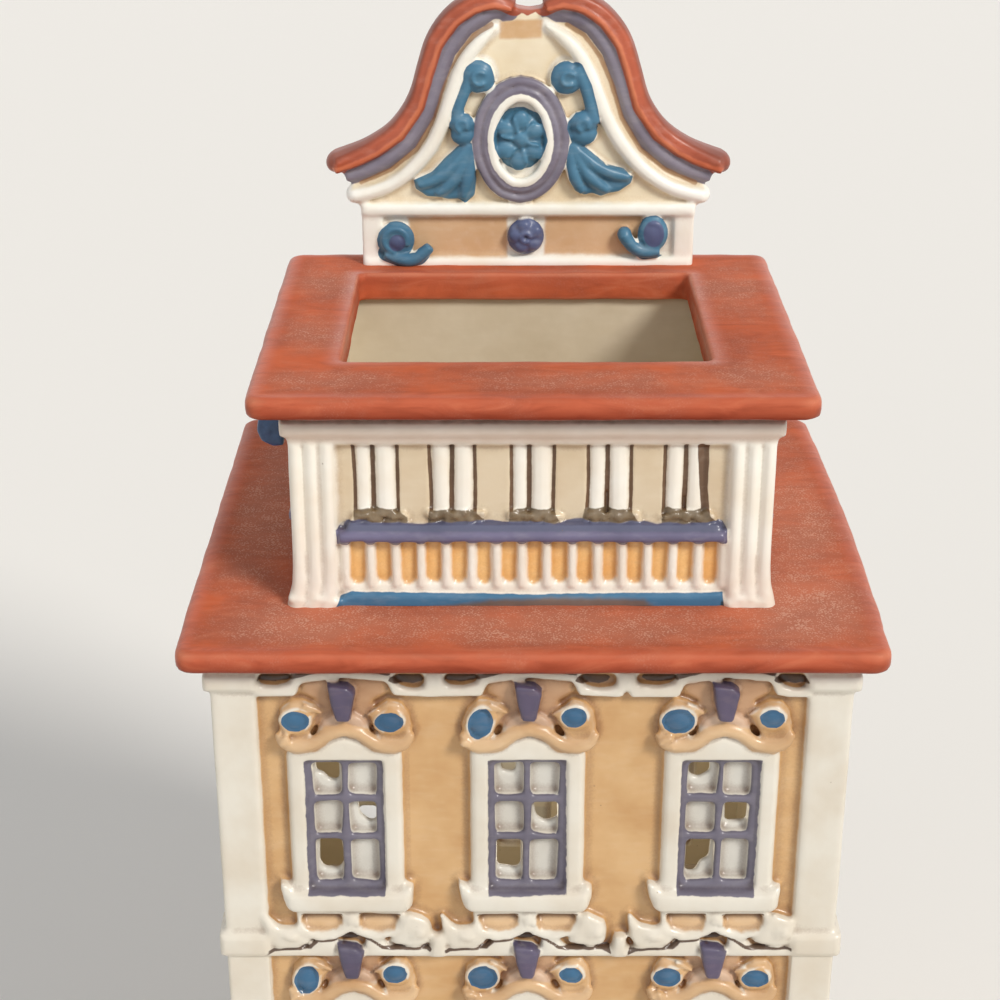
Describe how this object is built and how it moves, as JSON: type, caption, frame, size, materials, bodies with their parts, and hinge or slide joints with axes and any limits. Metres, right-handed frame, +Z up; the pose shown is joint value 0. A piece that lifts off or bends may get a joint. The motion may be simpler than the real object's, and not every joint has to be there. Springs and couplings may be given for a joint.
{
  "type": "ceramic house luminary",
  "caption": "Hollow ceramic town house with a curved gable, window openings, an open roof and a rear doorway for a tea light.",
  "frame": {"origin": "middle of the footprint on the surface it stands on, at the bottom centre of the bounding box", "axes": "+Z up, -Y towards the front facade, +X to the right when the front is looked at"},
  "size_m": [0.095, 0.0844, 0.2071],
  "materials": {
    "tan_ceramic": "hand-painted tan on white bisque, satin",
    "white_ceramic": "warm white underglaze on bisque, satin",
    "cream_ceramic": "thin cream wash on white bisque, satin",
    "red_ceramic": "terracotta-red underglaze with dusty patches, satin",
    "purple_ceramic": "grey-purple underglaze, brushed by hand, satin",
    "blue_ceramic": "blue underglaze, brushed by hand, satin",
    "brown_ceramic": "brown underglaze, satin",
    "aluminium": "drawn thin sheet, bright",
    "wax": "paraffin wax, slightly translucent",
    "wick": "waxed cotton braid"
  },
  "bodies": {
    "house": {"front_wall": "tan_ceramic", "rear_wall": "tan_ceramic", "left_wall": "tan_ceramic", "right_wall": "tan_ceramic", "floor_slab": "white_ceramic", "attic_rear": "white_ceramic", "attic_left": "white_ceramic", "attic_right": "white_ceramic", "gable_wall": "white_ceramic", "crest_middle_left": "cream_ceramic", "crest_middle_centre": "cream_ceramic", "crest_middle_right": "cream_ceramic", "crest_upper_left": "cream_ceramic", "crest_upper_centre": "cream_ceramic", "crest_upper_right": "cream_ceramic", "attic_front": "cream_ceramic", "lower_roof": "red_ceramic", "upper_roof": "red_ceramic", "gable_coping": "red_ceramic", "lattice_ground_left": "purple_ceramic", "lattice_ground_right": "purple_ceramic", "lattice_middle_left": "purple_ceramic", "lattice_middle_centre": "purple_ceramic", "lattice_middle_right": "purple_ceramic", "lattice_upper_left": "purple_ceramic", "lattice_upper_centre": "purple_ceramic", "lattice_upper_right": "purple_ceramic", "keystone_middle_left": "purple_ceramic", "keystone_middle_centre": "purple_ceramic", "keystone_middle_right": "purple_ceramic", "keystone_upper_left": "purple_ceramic", "keystone_upper_centre": "purple_ceramic", "keystone_upper_right": "purple_ceramic", "attic_sill": "purple_ceramic", "cartouche_ring": "purple_ceramic", "base_rosette": "purple_ceramic", "attic_base_strip": "blue_ceramic", "left_console": "blue_ceramic", "cartouche_rosette": "blue_ceramic", "sprig_left": "blue_ceramic", "sprig_right": "blue_ceramic", "base_scroll_left": "blue_ceramic", "base_scroll_right": "blue_ceramic", "front_door": "brown_ceramic"},
    "tea_light": {"tea_light_cup": "aluminium", "wick_sustainer": "aluminium", "tea_light_wax": "wax", "tea_light_wick": "wick"}
  },
  "joints": [
    {"name": "tea_light_slide", "type": "slide", "parent": "house", "child": "tea_light", "axis": [0, 1, 0], "range_m": [0, 0.065]}
  ]
}
